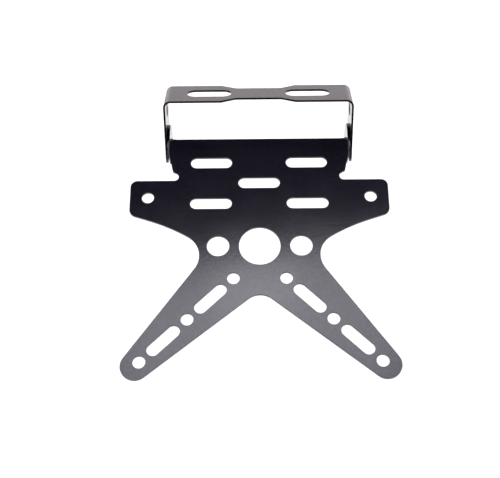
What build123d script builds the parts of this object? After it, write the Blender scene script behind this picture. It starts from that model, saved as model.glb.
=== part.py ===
from build123d import *
from math import asin, atan2, cos, radians, sin, sqrt, tan
import os

# Tail tidy: an X-shaped number-plate holder hinged between the arms of a folded strap.
# All sizes are in millimetres.
# The origin is on the strap's top face, midway between its two slots.
# X runs across, Y towards the machine and Z up. The holder hangs forwards and down.

# Sheet thicknesses
holder_sheet = 1.5
strap_sheet = 1.2

# Strap
strap_width = 112.0
strap_depth = 25.6
strap_fold_radius = 4.3
arm_length = 41.2
arm_corner_radius = 5.0
neck_depth = 16.2
neck_length = 26.8
neck_slope_length = 8.6
neck_corner_radius = 4.0
tail_slot_spacing = 58.4
tail_slot_length = 26.5
tail_slot_width = 10.6
indicator_hole_diameter = 8.0
indicator_hole_drop = 10.5

# Hinge
holder_lean = 55.0
pivot_above_arm_end = 7.4
side_play = 0.1
shank_play = 0.06
screw_diameter = 4.0
screw_head_diameter = 8.0
screw_head_height = 0.9
screw_end_length = 0.8
screw_end_chamfer = 0.4
socket_across_flats = 2.5
socket_depth = 1.6
washer_diameter = 9.0
washer_thickness = 0.8
nut_across_flats = 7.0
nut_height = 2.2
nut_corner_angle = 30.0
thread_play = 0.05

# Folded lugs of the holder, measured from the pivot in the holder's own directions
holder_fold_radius = 3.0
lug_radius = 12.9
lug_below_pivot = 7.6
lug_corner_radius = 5.0
relief_radius = 1.2

# Holder face: widths are across both sides, heights are above the large centre hole
pivot_height = 76.1
pivot_setback = 16.3
top_edge_below_pivot = 5.6
lip_inset = 4.3
lip_rise = 6.2
notch_inset = 0.9
notch_radius = 2.65
ear_width = 149.4
ear_top_height = 42.4
ear_slope = 18.5
ear_top_radius = 4.0
ear_bottom_radius = 4.5
belly_radius = 110.0
belly_rise = 2.43
waist_centre_width = 96.4
waist_centre_drop = 5.9
waist_radius = 14.1
crotch_drop = 29.9
crotch_radius = 10.0
tip_radius = 8.0
tip_past_last_hole = 3.0

# Openings in the face
centre_hole_diameter = 23.5
side_hole_diameter = 12.7
side_hole_spacing = 47.0
bolt_hole_diameter = 7.0
ear_hole_spacing = 128.6
ear_hole_height = 31.2
slot_width = 7.0
plate_slot_length = 24.1
plate_slot_spacing = 55.7
upper_slot_height = 54.2
middle_slot_height = 40.7
lower_slot_height = 27.2
first_arm_hole_spacing = 29.5
first_arm_hole_drop = 20.0
arm_slope = 43.9
arm_hole_pitch = 35.0
arm_slot_length = 22.0

# Places that follow from the sizes above
arm_outer = strap_width / 2
arm_inner = arm_outer - strap_sheet
lug_outer = arm_inner - side_play
lug_inner = lug_outer - holder_sheet
fold_start = lug_outer - holder_fold_radius
fold_end = pivot_setback - holder_fold_radius
lug_bottom = pivot_height - lug_below_pivot
top_edge_height = pivot_height - top_edge_below_pivot
lip_side = lug_outer - lip_inset
lip_height = ear_top_height + lip_rise
pivot_drop = arm_length - pivot_above_arm_end
pivot_hole_diameter = screw_diameter + 2 * shank_play
far = 4 * ear_width

# Working planes
lean = radians(holder_lean)
holder_up = Vector(0, sin(lean), cos(lean))
holder_out = Vector(0, -cos(lean), sin(lean))
pivot_centre = Vector(0, 0, -pivot_drop)
face_origin = pivot_centre - holder_up * pivot_height + holder_out * pivot_setback
holder_face = Plane(origin=face_origin, x_dir=(1, 0, 0), z_dir=holder_out)
lug_side = Plane(origin=pivot_centre, x_dir=holder_up, z_dir=(1, 0, 0))
pivot_side = Plane(origin=pivot_centre, x_dir=(0, 1, 0), z_dir=(1, 0, 0))


def edge_between(centre_a, radius_a, centre_b, radius_b, side):
    """Ends of the straight edge that touches circle a on one side and circle b on the other."""
    gap = centre_b - centre_a
    heading = atan2(gap.Y, gap.X) + side * asin((radius_a + radius_b) / gap.length)
    across = Vector(-sin(heading), cos(heading)) * side
    return centre_a - across * radius_a, centre_b + across * radius_b


# Tail bracket: one strap folded down at both ends
with BuildPart() as tail_bracket:
    with BuildSketch(Plane.XZ.offset(-strap_depth / 2)):
        with BuildLine():
            strap_line = FilletPolyline(
                (-arm_outer, -arm_length),
                (-arm_outer, 0),
                (arm_outer, 0),
                (arm_outer, -arm_length),
                radius=strap_fold_radius,
            )
            offset(strap_line, amount=-strap_sheet, side=Side.RIGHT, closed=True)
        make_face()
    extrude(amount=strap_depth)

    # Neck between the slots
    with BuildSketch():
        with BuildLine():
            FilletPolyline(
                (-neck_length / 2 - neck_slope_length, strap_depth / 2),
                (-neck_length / 2, neck_depth / 2),
                (neck_length / 2, neck_depth / 2),
                (neck_length / 2 + neck_slope_length, strap_depth / 2),
                radius=neck_corner_radius,
            )
            Line(
                (-neck_length / 2 - neck_slope_length, strap_depth / 2),
                (neck_length / 2 + neck_slope_length, strap_depth / 2),
            )
        make_face()
        mirror(about=Plane.XZ)
        # Slots for the bolts into the tail
        with Locations((-tail_slot_spacing / 2, 0), (tail_slot_spacing / 2, 0)):
            SlotOverall(tail_slot_length, tail_slot_width)
    extrude(amount=2 * strap_sheet, both=True, mode=Mode.SUBTRACT)

    # Indicator hole and pivot hole through both arms
    with BuildSketch(Plane.YZ):
        with Locations((0, -indicator_hole_drop)):
            Circle(indicator_hole_diameter / 2)
        with Locations((0, -pivot_drop)):
            Circle(pivot_hole_diameter / 2)
    extrude(amount=far, both=True, mode=Mode.SUBTRACT)

    # Rounded lower corners of the arms
    arm_ends = tail_bracket.faces().sort_by(Axis.Z)[:2]
    fillet(arm_ends.edges().filter_by(Axis.X), radius=arm_corner_radius)


# Folded lugs of the holder, from an angle section cut to the lug's side view
fold_section = Plane(
    origin=face_origin + holder_up * lip_height, x_dir=(1, 0, 0), z_dir=holder_up
)
with BuildPart() as folded_lugs:
    with BuildSketch(fold_section):
        with BuildLine():
            fold = JernArc((fold_start, 0), (1, 0), holder_fold_radius, 90)
            Line(fold @ 1, (lug_outer, pivot_setback + lug_radius))
            offset(amount=holder_sheet, side=Side.LEFT, closed=True)
        make_face()
        mirror(about=Plane.YZ)
    extrude(amount=pivot_height + lug_radius - lip_height)

    # Side view: the round-topped lug, and the fold that joins it to the face
    with BuildSketch(lug_side):
        with BuildLine():
            ThreePointArc((0, lug_radius), (lug_radius, 0), (0, -lug_radius))
            FilletPolyline(
                (0, -lug_radius),
                (-lug_below_pivot, -lug_radius),
                (-lug_below_pivot, fold_end),
                radius=lug_corner_radius,
            )
            Polyline(
                (-lug_below_pivot, fold_end),
                (lip_height - pivot_height, fold_end),
                (lip_height - pivot_height, pivot_setback),
                (top_edge_height - pivot_height, pivot_setback),
                (top_edge_height - pivot_height, lug_radius),
                (0, lug_radius),
            )
        make_face()
        Circle(pivot_hole_diameter / 2, mode=Mode.SUBTRACT)
    extrude(amount=far, both=True, mode=Mode.INTERSECT)

    # Front view: the slanted edge below the fold
    with BuildSketch(holder_face):
        with BuildLine():
            Polyline(
                (lip_side, lip_height),
                (lug_outer, lug_bottom),
                (lug_outer + holder_sheet, lug_bottom),
                (lug_outer + holder_sheet, lip_height),
                close=True,
            )
        make_face()
        mirror(about=Plane.YZ)
    extrude(amount=-holder_fold_radius, mode=Mode.SUBTRACT)


# Number-plate holder: the flat X-shaped face with its openings, joined to the lugs
with BuildPart() as number_plate_holder:
    with BuildSketch(holder_face):
        with BuildLine():
            # Lower arm, from the crotch round the tip to the waist
            crotch_centre = Vector(0, -crotch_drop - crotch_radius)
            waist_centre = Vector(waist_centre_width / 2, -waist_centre_drop)
            arm_heading = Vector(cos(radians(arm_slope)), -sin(radians(arm_slope)))
            first_arm_hole = Vector(first_arm_hole_spacing / 2, -first_arm_hole_drop)
            tip_centre = first_arm_hole + arm_heading * (2 * arm_hole_pitch + tip_past_last_hole)
            crotch_end, tip_low = edge_between(
                crotch_centre, crotch_radius, tip_centre, tip_radius, -1
            )
            waist_low, tip_high = edge_between(
                waist_centre, waist_radius, tip_centre, tip_radius, 1
            )
            RadiusArc((0, -crotch_drop), crotch_end, crotch_radius)
            Line(crotch_end, tip_low)
            ThreePointArc(tip_low, tip_centre + arm_heading * tip_radius, tip_high)
            Line(tip_high, waist_low)

            # Waist and belly, up to the ear's straight lower edge, which clears the
            # waist's circle by the belly's rise
            ear_heading = Vector(cos(radians(ear_slope)), sin(radians(ear_slope)))
            ear_inward = Vector(ear_heading.Y, -ear_heading.X)
            belly_run = sqrt(belly_rise * (2 * (belly_radius - waist_radius) - belly_rise))
            belly_start = waist_centre + ear_heading * belly_run
            belly_start -= ear_inward * (waist_radius + belly_rise)
            ear_corner = belly_start + ear_heading * (
                (ear_width / 2 - belly_start.X) / ear_heading.X
            )
            belly_centre = belly_start + ear_inward * belly_radius
            belly_side = (waist_centre - belly_centre).normalized()
            waist_high = waist_centre + belly_side * waist_radius
            ThreePointArc(waist_low, waist_centre - Vector(waist_radius, 0), waist_high)
            RadiusArc(waist_high, belly_start, belly_radius)

            # Ear, notch lip and the straight side up to the top edge
            notch_centre = Vector(lip_side - notch_inset, ear_top_height + notch_radius)
            lip = Vector(lip_side, lip_height)
            lip_gap = lip - notch_centre
            notch_turn = atan2(lip_gap.Y, lip_gap.X)
            notch_turn += atan2(sqrt(lip_gap.length**2 - notch_radius**2), notch_radius)
            notch_top = notch_centre + Vector(cos(notch_turn), sin(notch_turn)) * notch_radius
            FilletPolyline(
                belly_start,
                ear_corner,
                (ear_width / 2, ear_top_height),
                (notch_centre.X, ear_top_height),
                radius=[ear_bottom_radius, ear_top_radius],
            )
            ThreePointArc(
                (notch_centre.X, ear_top_height),
                notch_centre - Vector(notch_radius, 0),
                notch_top,
            )
            side_height = lip_height + (fold_start - lip_side) * (lug_bottom - lip_height) / lip_inset
            Polyline(
                notch_top,
                lip,
                (fold_start, side_height),
                (fold_start, top_edge_height),
                (0, top_edge_height),
                (0, -crotch_drop),
            )
        make_face()
        mirror(about=Plane.YZ)

        # Row of round holes across the middle
        Circle(centre_hole_diameter / 2, mode=Mode.SUBTRACT)
        with Locations((-side_hole_spacing / 2, 0), (side_hole_spacing / 2, 0)):
            Circle(side_hole_diameter / 2, mode=Mode.SUBTRACT)

        # Level slots for the number plate
        with Locations((0, middle_slot_height)):
            SlotOverall(plate_slot_length, slot_width, mode=Mode.SUBTRACT)
        for slot_height in (upper_slot_height, lower_slot_height):
            with Locations(
                (-plate_slot_spacing / 2, slot_height), (plate_slot_spacing / 2, slot_height)
            ):
                SlotOverall(plate_slot_length, slot_width, mode=Mode.SUBTRACT)

        # Ear holes, then holes and slots by turns along each lower arm
        for side in (-1, 1):
            with Locations((side * ear_hole_spacing / 2, ear_hole_height)):
                Circle(bolt_hole_diameter / 2, mode=Mode.SUBTRACT)
            for step in (0, 1, 2):
                place = first_arm_hole + arm_heading * step * arm_hole_pitch
                with Locations((side * place.X, place.Y)):
                    Circle(bolt_hole_diameter / 2, mode=Mode.SUBTRACT)
            for step in (0.5, 1.5):
                place = first_arm_hole + arm_heading * step * arm_hole_pitch
                with Locations((side * place.X, place.Y)):
                    SlotOverall(
                        arm_slot_length, slot_width, rotation=-side * arm_slope, mode=Mode.SUBTRACT
                    )
    extrude(amount=-holder_sheet)
    add(folded_lugs.part)

    # Relief where the fold ends beside the top edge
    relief_side = fold_start + relief_radius / 2
    with BuildSketch(holder_face):
        with Locations((-relief_side, top_edge_height), (relief_side, top_edge_height)):
            Circle(relief_radius)
    extrude(amount=-holder_fold_radius, mode=Mode.SUBTRACT)


# Pivot fasteners of the right side, placed along X by their distance from the middle
head_seat = arm_outer
nut_seat = lug_inner - washer_thickness
nut_end = nut_seat - nut_height
screw_end = nut_end - screw_end_length

# Pivot screw: a thin head outside the arm, with a hexagon socket
with BuildPart() as right_pivot_screw:
    with BuildSketch(pivot_side.offset(screw_end)):
        Circle(screw_diameter / 2)
    extrude(amount=head_seat - screw_end)
    screw_tip = right_pivot_screw.edges().group_by(Axis.X)[0]
    chamfer(screw_tip, length=screw_end_chamfer)
    with BuildSketch(pivot_side.offset(head_seat)):
        Circle(screw_head_diameter / 2)
    extrude(amount=screw_head_height)
    head_rim = right_pivot_screw.edges().group_by(Axis.X)[-1]
    fillet(head_rim, radius=screw_head_height / 2)
    with BuildSketch(pivot_side.offset(head_seat + screw_head_height)):
        RegularPolygon(socket_across_flats / 2, 6, major_radius=False)
    extrude(amount=-socket_depth, mode=Mode.SUBTRACT)

# Washer between the lug and the nut
with BuildPart() as right_pivot_washer:
    with BuildSketch(pivot_side.offset(nut_seat)):
        Circle(washer_diameter / 2)
        Circle(screw_diameter / 2 + shank_play, mode=Mode.SUBTRACT)
    extrude(amount=washer_thickness)

# Lock nut: a thin hexagon whose corners are chamfered on the open side
with BuildPart() as right_lock_nut:
    with BuildSketch(pivot_side.offset(nut_seat)):
        RegularPolygon(nut_across_flats / 2, 6, major_radius=False)
        Circle(screw_diameter / 2 + thread_play, mode=Mode.SUBTRACT)
    extrude(amount=-nut_height)
    nut_corner = nut_across_flats / sqrt(3)
    corner_drop = (nut_corner - nut_across_flats / 2) * tan(radians(nut_corner_angle))
    with BuildSketch(pivot_side.offset(nut_end)):
        Circle(nut_across_flats / 2)
    with BuildSketch(pivot_side.offset(nut_end + corner_drop)):
        Circle(nut_corner)
    with BuildSketch(pivot_side.offset(nut_seat)):
        Circle(nut_corner)
    loft(ruled=True, mode=Mode.INTERSECT)

# The left side has the same fasteners, mirrored
with BuildPart() as left_pivot_screw:
    mirror(right_pivot_screw.part, about=Plane.YZ)
with BuildPart() as left_pivot_washer:
    mirror(right_pivot_washer.part, about=Plane.YZ)
with BuildPart() as left_lock_nut:
    mirror(right_lock_nut.part, about=Plane.YZ)


os.makedirs("parts", exist_ok=True)
tail_bracket.part.label = "tail_bracket"
export_step(tail_bracket.part, "parts/tail_bracket.step")
number_plate_holder.part.label = "number_plate_holder"
export_step(number_plate_holder.part, "parts/number_plate_holder.step")
for fastener, name in (
    (left_pivot_screw, "left_pivot_screw"),
    (right_pivot_screw, "right_pivot_screw"),
    (left_pivot_washer, "left_pivot_washer"),
    (right_pivot_washer, "right_pivot_washer"),
    (left_lock_nut, "left_lock_nut"),
    (right_lock_nut, "right_lock_nut"),
):
    fastener.part.label = name
    export_step(fastener.part, f"parts/{name}.step")
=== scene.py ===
# %% [markdown]
# # A tail tidy, dressed for its portrait
# A tail tidy carries a motorcycle's number plate under its tail. This one is two folded
# sheets of steel, both powder-coated black. A strap bolts up under the tail, and an X-shaped
# holder swings between the strap's arms on two short screws.
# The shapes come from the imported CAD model, so this lesson is about the finish: coated edges
# that catch the light, a satin skin, blackened fasteners with nylon rings in their nuts, and
# a soft studio around them.

from math import pi, radians

import bmesh
import bpy
from mathutils import Euler, Matrix, Vector


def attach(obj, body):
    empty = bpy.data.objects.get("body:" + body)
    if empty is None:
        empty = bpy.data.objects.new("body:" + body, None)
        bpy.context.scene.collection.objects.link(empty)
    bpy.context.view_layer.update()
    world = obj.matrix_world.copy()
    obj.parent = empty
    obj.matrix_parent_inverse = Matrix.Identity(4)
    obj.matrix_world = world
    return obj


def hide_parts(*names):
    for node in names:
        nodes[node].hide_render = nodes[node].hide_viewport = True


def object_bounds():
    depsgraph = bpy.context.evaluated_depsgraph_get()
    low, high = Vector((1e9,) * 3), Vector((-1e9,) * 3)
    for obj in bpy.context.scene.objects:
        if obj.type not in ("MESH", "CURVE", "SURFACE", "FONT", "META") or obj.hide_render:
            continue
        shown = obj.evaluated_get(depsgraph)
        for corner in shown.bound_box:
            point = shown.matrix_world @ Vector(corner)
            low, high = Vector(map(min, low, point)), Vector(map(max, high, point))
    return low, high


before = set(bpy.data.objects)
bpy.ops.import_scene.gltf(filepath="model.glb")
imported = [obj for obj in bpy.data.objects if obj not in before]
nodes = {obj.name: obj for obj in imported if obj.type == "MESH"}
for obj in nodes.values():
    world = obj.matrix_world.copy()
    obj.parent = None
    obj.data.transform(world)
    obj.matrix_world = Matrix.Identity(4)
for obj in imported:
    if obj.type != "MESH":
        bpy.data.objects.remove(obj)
cad_low, cad_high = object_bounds()
mm = 0.001
print("CAD box in mm:", [round(size / mm, 1) for size in cad_high - cad_low])

# %% [markdown]
# ## A helper for finished pieces
# Each new piece is shaped as a bmesh and ends as one object at the origin, with its place in
# its mesh. It then rides on a CAD body, gets the material it is given, and may stand
# for the CAD node that it details. One helper does this for every piece.

# %% Turn a bmesh into a piece of the object
def finish_piece(name, shape, material, body, replaced_node=None):
    """Make an object from a bmesh and let it ride on a CAD body."""
    mesh = bpy.data.meshes.new(name)
    shape.to_mesh(mesh)
    shape.free()
    mesh.materials.append(material)
    for face in mesh.polygons:
        face.use_smooth = True
    piece = bpy.data.objects.new(name, mesh)
    bpy.context.scene.collection.objects.link(piece)
    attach(piece, body)
    if replaced_node:
        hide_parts(replaced_node)
    print(name, "has", len(mesh.polygons), "faces")
    return piece


# %% [markdown]
# ## Skin of a powder coat
# Powder melts into a skin that is never quite flat. Seen close, it has the low dimples of
# orange peel, a millimetre or two apart, and a speckle of about the same size. Over some
# centimetres its gloss drifts as well. Three noise textures give these three. The coat, the
# blackened steel and the nylon all use them, so they are one node group, built once.

# %% A node group for dimpled skins
dimple_rise = 0.02 * mm
clouds_per_metre = 45.0
speckles_per_metre = 800.0


def make_skin_group():
    """Dimples as a normal, and slow and fine changes as masks."""
    group = bpy.data.node_groups.new("coated_skin", "ShaderNodeTree")
    for name, direction, kind in (
        ("Dimples per metre", "INPUT", "NodeSocketFloat"),
        ("Dimple depth", "INPUT", "NodeSocketFloat"),
        ("Normal", "OUTPUT", "NodeSocketVector"),
        ("Cloud", "OUTPUT", "NodeSocketFloat"),
        ("Speckle", "OUTPUT", "NodeSocketFloat"),
    ):
        group.interface.new_socket(name=name, in_out=direction, socket_type=kind)
    link = group.links.new
    inputs = group.nodes.new("NodeGroupInput")
    outputs = group.nodes.new("NodeGroupOutput")
    place = group.nodes.new("ShaderNodeTexCoord")

    def new_noise(detail):
        """A noise texture that stays with the piece as it moves."""
        noise = group.nodes.new("ShaderNodeTexNoise")
        noise.inputs["Detail"].default_value = detail
        link(place.outputs["Object"], noise.inputs["Vector"])
        return noise

    dimples = new_noise(detail=1.0)
    link(inputs.outputs["Dimples per metre"], dimples.inputs["Scale"])
    bump = group.nodes.new("ShaderNodeBump")
    bump.inputs["Distance"].default_value = dimple_rise
    link(inputs.outputs["Dimple depth"], bump.inputs["Strength"])
    link(dimples.outputs["Fac"], bump.inputs["Height"])
    link(bump.outputs["Normal"], outputs.inputs["Normal"])

    cloud = new_noise(detail=3.0)
    cloud.inputs["Scale"].default_value = clouds_per_metre
    link(cloud.outputs["Fac"], outputs.inputs["Cloud"])

    speckle = new_noise(detail=2.0)
    speckle.inputs["Scale"].default_value = speckles_per_metre
    link(speckle.outputs["Fac"], outputs.inputs["Speckle"])
    return group


skin_group = make_skin_group()
print("skin group sockets:", [socket.name for socket in skin_group.interface.items_tree])

# %% [markdown]
# ## From a mask to a value
# A noise mask stays near its middle. A Map Range node takes the part of it that is used and
# gives the range that is wanted, in a straight or a smooth step. The finishes use it here,
# and the room uses it later.

# %% A helper that maps a mask onto a value
def map_range(tree, mask, used, wanted=(0.0, 1.0), step="LINEAR"):
    """Turn the used range of a mask into the wanted range of a value."""
    node = tree.nodes.new("ShaderNodeMapRange")
    node.interpolation_type = step
    for name, value in zip(("From Min", "From Max", "To Min", "To Max"), (*used, *wanted)):
        node.inputs[name].default_value = value
    tree.links.new(mask, node.inputs["Value"])
    return node.outputs["Result"]


# %% [markdown]
# ## A finish in a few numbers
# A finish is told by its colour, its roughness and how deep its dimples are. A satin powder
# also holds fine grains under a film of clear resin, and it shines more where the film is
# thicker. That film is the shader's thin coat layer, speckled in step with the colour. The
# layer below it shines a little less, so that both together shine as one plain surface does.
# What stays the same all over is set on the shader's own sockets.

# %% Build a material around the skin group
speckle_used = (0.35, 0.65)
cloud_used = (0.3, 0.7)
plain_shine = 0.5


def make_finish(name, dark, light, roughness, dimples=700.0, depth=0.6, film=0.0):
    """A material whose colour is speckled and whose roughness drifts."""
    material = bpy.data.materials.new(name)
    material.use_nodes = True
    tree = material.node_tree
    shader = tree.nodes["Principled BSDF"]
    skin = tree.nodes.new("ShaderNodeGroup")
    skin.node_tree = skin_group
    skin.inputs["Dimples per metre"].default_value = dimples
    skin.inputs["Dimple depth"].default_value = depth
    speckle = skin.outputs["Speckle"]

    ramp = tree.nodes.new("ShaderNodeValToRGB")
    for stop, position, colour in zip(ramp.color_ramp.elements, speckle_used, (dark, light)):
        stop.position = position
        stop.color = (*colour, 1.0)
    tree.links.new(speckle, ramp.inputs["Fac"])
    tree.links.new(ramp.outputs["Color"], shader.inputs["Base Color"])

    if film:
        shader.inputs["Specular IOR Level"].default_value = plain_shine * (1 - film / 2)
        shader.inputs["Coat Roughness"].default_value = sum(roughness) / 2
        film_weight = map_range(tree, speckle, speckle_used, (0.0, film))
        tree.links.new(film_weight, shader.inputs["Coat Weight"])

    drift = map_range(tree, skin.outputs["Cloud"], cloud_used, roughness)
    tree.links.new(drift, shader.inputs["Roughness"])
    tree.links.new(skin.outputs["Normal"], shader.inputs["Normal"])
    return material


# %% The black of the sheets and the black of the fasteners
powder_coat = make_finish(
    "satin_black_powder_coat",
    dark=(0.0008, 0.0007, 0.0034),
    light=(0.0050, 0.0046, 0.0120),
    roughness=(0.125, 0.15),
    film=0.15,
)
black_steel = make_finish(
    "blackened_steel",
    dark=(0.010, 0.010, 0.011),
    light=(0.022, 0.021, 0.022),
    roughness=(0.26, 0.36),
    dimples=2400.0,
    depth=0.1,
)
print("finishes:", powder_coat.name, black_steel.name)

# %% [markdown]
# ## The two folded sheets
# A laser leaves a sharp edge, and the coat rounds it as it melts. That thin round edge is what
# draws the bright and dark lines along a coated sheet. Modelling the sheet again would be a
# waste, so each one is a copy of its CAD node. The copy's loose triangles are merged, flat
# neighbours are dissolved, and a Bevel modifier rounds what is left sharp. A Weighted Normal
# modifier keeps the wide faces flat, so that their reflections stay calm.

# %% Two modifiers that round the edges
edge_turn = radians(32)
edge_segments = 3
wide_face_weight = 90


def round_the_edges(piece, radius):
    """Round the sharp edges of a piece and keep its wide faces flat."""
    bevel = piece.modifiers.new("rounded_edges", "BEVEL")
    bevel.width = radius
    bevel.segments = edge_segments
    bevel.limit_method = "ANGLE"
    bevel.angle_limit = edge_turn
    bevel.use_clamp_overlap = False
    flats = piece.modifiers.new("flat_faces_stay_flat", "WEIGHTED_NORMAL")
    flats.mode = "FACE_AREA"
    flats.weight = wide_face_weight


# %% Round the coated edges of both sheets
weld_distance = 0.002 * mm
flat_turn = radians(0.2)
coat_radius = 0.08 * mm


def soft_edged_copy(node, name_end, material, body, radius):
    """Stand for a CAD node with a copy whose sharp edges are rounded."""
    shape = bmesh.new()
    shape.from_mesh(nodes[node].data)
    bmesh.ops.remove_doubles(shape, verts=shape.verts, dist=weld_distance)
    bmesh.ops.dissolve_limit(shape, angle_limit=flat_turn, verts=shape.verts, edges=shape.edges)
    piece = finish_piece(node + name_end, shape, material, body, node)
    round_the_edges(piece, radius)


for sheet, sheet_body in (("number_plate_holder", "holder"), ("tail_bracket", "bracket")):
    soft_edged_copy(sheet, "_coated", powder_coat, sheet_body, coat_radius)

# %% [markdown]
# ## Screws, washers and nuts
# The hinge turns on two short screws with thin heads, each held by a washer and a lock nut.
# They are turned and pressed parts, whose edges are broken but not coated, so they get the
# same treatment with a smaller radius and the duller blackened finish.

# %% Break the edges of the fasteners
broken_edge = 0.06 * mm
sides = ("left", "right")
for side in sides:
    for fastener in ("_pivot_screw", "_pivot_washer", "_lock_nut"):
        soft_edged_copy(
            side + fastener, "_blackened", black_steel, "bracket", broken_edge
        )

# %% [markdown]
# ## A nylon ring in each lock nut
# A ring of nylon at the nut's open end grips the thread, so that the holder stays at the tilt
# it was set to. A ring is round about the screw, so a small rectangle is spun about the
# screw's axis. The nut's own mesh says where the axis and the open end are.

# %% The ring's finish and measures
nylon = make_finish(
    "natural_nylon",
    dark=(0.40, 0.385, 0.35),
    light=(0.47, 0.455, 0.42),
    roughness=(0.38, 0.50),
    dimples=1500.0,
    depth=0.1,
)
ring_inside = 2.08 * mm
ring_outside = 2.85 * mm
ring_rise = 0.35 * mm
ring_root = 0.15 * mm
ring_steps = 64
print("ring wall in mm:", round((ring_outside - ring_inside) / mm, 2))


# %% Spin a ring at the open end of each nut
def nylon_ring(side):
    """A ring that stands a little proud of the nut's open end."""
    points = [vertex.co for vertex in nodes[side + "_lock_nut"].data.vertices]
    away = 1.0 if points[0].x > 0 else -1.0
    open_end = min(abs(point.x) for point in points)
    axis_y = (min(point.y for point in points) + max(point.y for point in points)) / 2
    axis_z = (min(point.z for point in points) + max(point.z for point in points)) / 2
    shape = bmesh.new()
    bmesh.ops.create_grid(shape, x_segments=1, y_segments=1, size=0.5)
    bmesh.ops.delete(shape, geom=shape.faces[:], context="FACES_ONLY")
    section = Vector((ring_rise + ring_root, ring_outside - ring_inside, 1.0))
    middle = Vector((ring_root - ring_rise, ring_inside + ring_outside, 0.0)) / 2
    bmesh.ops.scale(shape, vec=section, verts=shape.verts)
    bmesh.ops.translate(shape, vec=middle, verts=shape.verts)
    bmesh.ops.spin(
        shape,
        geom=shape.verts[:] + shape.edges[:],
        cent=(0, 0, 0),
        axis=(1, 0, 0),
        angle=2 * pi,
        steps=ring_steps,
        use_merge=True,
    )
    bmesh.ops.scale(shape, vec=(away, 1, 1), verts=shape.verts)
    bmesh.ops.translate(shape, vec=(away * open_end, axis_y, axis_z), verts=shape.verts)
    bmesh.ops.remove_doubles(shape, verts=shape.verts, dist=weld_distance)
    bmesh.ops.recalc_face_normals(shape, faces=shape.faces)
    piece = finish_piece(side + "_nylon_ring", shape, nylon, "bracket")
    round_the_edges(piece, broken_edge)


for side in sides:
    nylon_ring(side)

# %% [markdown]
# ## The floor
# The floor is plain and pale. It lies 22 cm below the part, so that the part's shadow on it
# is wide and faint.

# %% A helper for level sheets of the stage
def make_plain(name, colour, roughness):
    """A plain material for what only stands around the object."""
    material = bpy.data.materials.new(name)
    material.use_nodes = True
    shader = material.node_tree.nodes["Principled BSDF"]
    shader.inputs["Base Color"].default_value = (*colour, 1.0)
    shader.inputs["Roughness"].default_value = roughness
    return material


def lay_sheet(name, material, middle, half_width, half_depth):
    """A level rectangle with its place in its mesh."""
    shape = bmesh.new()
    bmesh.ops.create_grid(shape, x_segments=1, y_segments=1, size=1.0)
    bmesh.ops.scale(shape, vec=(half_width, half_depth, 1.0), verts=shape.verts)
    bmesh.ops.translate(shape, vec=middle, verts=shape.verts)
    mesh = bpy.data.meshes.new(name)
    shape.to_mesh(mesh)
    shape.free()
    mesh.materials.append(material)
    sheet = bpy.data.objects.new(name, mesh)
    bpy.context.scene.collection.objects.link(sheet)
    return sheet


# %% A plain pale floor
floor_drop = 0.22
floor_reach = 6.0
matt = 0.9
floor_height = cad_low.z - floor_drop
floor_paint = make_plain("pale_floor", (0.86, 0.86, 0.86), matt)
floor = lay_sheet("floor", floor_paint, (0, 0, floor_height), floor_reach, floor_reach)
print("floor height in m:", round(floor_height, 3))

# %% [markdown]
# ## A black card for the edges
# The thin edges that face the camera mirror the floor in front of the part, below the view. A
# studio lays a black card there, so that the edges are drawn in black. Only reflections see
# this one, so it throws no shadow and stays out of the views from other sides.

# %% Lay the card where the front edges mirror it
card_front = -1.50
card_back = -0.32
card_reach = 0.60
card_lift = 0.01
card_middle = (0, (card_front + card_back) / 2, floor_height + card_lift)
card_paper = make_plain("black_card_paper", (0.01, 0.01, 0.01), matt)
card = lay_sheet("black_card", card_paper, card_middle, card_reach, (card_back - card_front) / 2)
card.visible_camera = False
card.visible_diffuse = False
card.visible_shadow = False
print("card from y", card_front, "to", card_back)

# %% [markdown]
# ## Soft boxes
# A soft box is a rectangular lamp behind a cloth, which here is an area light. It is placed by
# where it hangs and where it points. A narrow cone keeps its light off what lies beside it.

# %% A helper for soft boxes
def soft_box(name, place, aim, size, power, colour=(1, 1, 1), roll=0.0, cone=180.0):
    """A rectangular area light that points at a place."""
    data = bpy.data.lights.new(name, "AREA")
    data.shape = "RECTANGLE"
    data.size, data.size_y = size
    data.energy = power
    data.color = colour
    data.spread = radians(cone)
    light = bpy.data.objects.new(name, data)
    turn = (Vector(aim) - Vector(place)).to_track_quat("-Z", "Y")
    light.matrix_world = (
        Matrix.Translation(place) @ turn.to_matrix().to_4x4() @ Matrix.Rotation(roll, 4, "Z")
    )
    bpy.context.scene.collection.objects.link(light)
    print(name, "is", size[0], "by", size[1], "m, at", power, "W")


# %% [markdown]
# ## The key light
# Satin black shows almost nothing but reflections. The holder's lower half is grey because it
# mirrors a soft box that hangs above and in front, and its upper half is black because it
# mirrors the dark behind that box. So the box ends, on the part's side, just where the middle
# of the holder mirrors it. A small second box at that end makes the holder's waist a little
# brighter than its arms.

# %% The key box and its brighter end
face_middle = (0, -0.07, -0.06)
key_colour = (0.92, 0.91, 1.0)
soft_box(
    "key_box",
    place=(0, -0.465, 1.28),
    aim=face_middle,
    size=(0.63, 0.31),
    power=3.3,
    colour=key_colour,
    roll=radians(7),
)
soft_box(
    "key_box_middle",
    place=(0, -0.37, 1.25),
    aim=face_middle,
    size=(0.16, 0.12),
    power=0.14,
    colour=key_colour,
)

# %% [markdown]
# ## The wash
# The floor behind the part has to be white and even. A wide box high above it does that. It
# hangs behind the part, where no face mirrors it to the camera, and its cone is narrowed.

# %% A wash of light over the floor
soft_box(
    "floor_wash",
    place=(0, 0.95, 2.2),
    aim=(0, 0.70, -0.33),
    size=(2.4, 0.9),
    power=26.5,
    cone=100.0,
)

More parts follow.
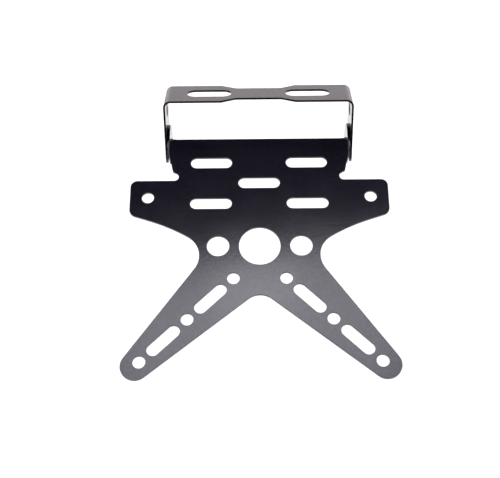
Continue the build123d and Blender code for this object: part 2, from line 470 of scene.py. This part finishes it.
# %% [markdown]
# ## The room
# The room is what all other faces mirror. The strap's top mirrors the bright wall behind, and
# the holder's upper half mirrors the dark ceiling. The dimmer wall in front keeps the folds
# and the rounded edges from shining.

# %% Start an empty room and mix its colours
front_wall = (0.45, 0.43, 0.47)
rear_wall = (1.38, 1.28, 1.33)
ceiling = (0.05, 0.045, 0.075)

world = bpy.data.worlds.new("studio")
bpy.context.scene.world = world
world.use_nodes = True
room = world.node_tree


def room_mix(mask, low_colour, high_colour):
    """A mix of two colours of the room."""
    mix = room.nodes.new("ShaderNodeMix")
    mix.data_type = "RGBA"
    # The node has its inputs once for each kind of data, so its colours go by number.
    low_input, high_input, result = mix.inputs[6], mix.inputs[7], mix.outputs[2]
    room.links.new(mask, mix.inputs["Factor"])
    for socket, colour in ((low_input, low_colour), (high_input, high_colour)):
        if isinstance(colour, tuple):
            socket.default_value = (*colour, 1.0)
        else:
            room.links.new(colour, socket)
    return result


# %% A room that is bright behind, dimmer in front and dark overhead
wall_turn = (-0.35, 0.35)
ceiling_start = (0.45, 0.90)
direction = room.nodes.new("ShaderNodeTexCoord")
split = room.nodes.new("ShaderNodeSeparateXYZ")
room.links.new(direction.outputs["Generated"], split.inputs["Vector"])
behind = map_range(room, split.outputs["Y"], wall_turn, step="SMOOTHSTEP")
overhead = map_range(room, split.outputs["Z"], ceiling_start, step="SMOOTHSTEP")
whole_room = room_mix(overhead, room_mix(behind, front_wall, rear_wall), ceiling)
room.links.new(whole_room, room.nodes["Background"].inputs["Color"])
print("room nodes:", len(room.nodes))

# %% [markdown]
# ## The camera
# The camera stands about 60 cm in front of the part and looks down on it by 29 degrees. Its
# small roll and turn are those of a camera that is held by hand.

# %% Place the camera
camera_place = Vector((-2.1, -563.1, 210.4)) * mm
camera_turn = Euler((radians(61.192), radians(0.579), radians(0.070)))
camera_lens = 71.93
sensor_width = 36.0
nearest = 0.01
farthest = 50.0

camera_data = bpy.data.cameras.new("camera")
camera_data.lens = camera_lens
camera_data.sensor_width = sensor_width
camera_data.clip_start = nearest
camera_data.clip_end = farthest
camera = bpy.data.objects.new("camera", camera_data)
camera.location = camera_place
camera.rotation_euler = camera_turn
bpy.context.scene.collection.objects.link(camera)
bpy.context.scene.camera = camera
bpy.context.scene.view_settings.view_transform = "Standard"
print("camera lens in mm:", camera_lens)
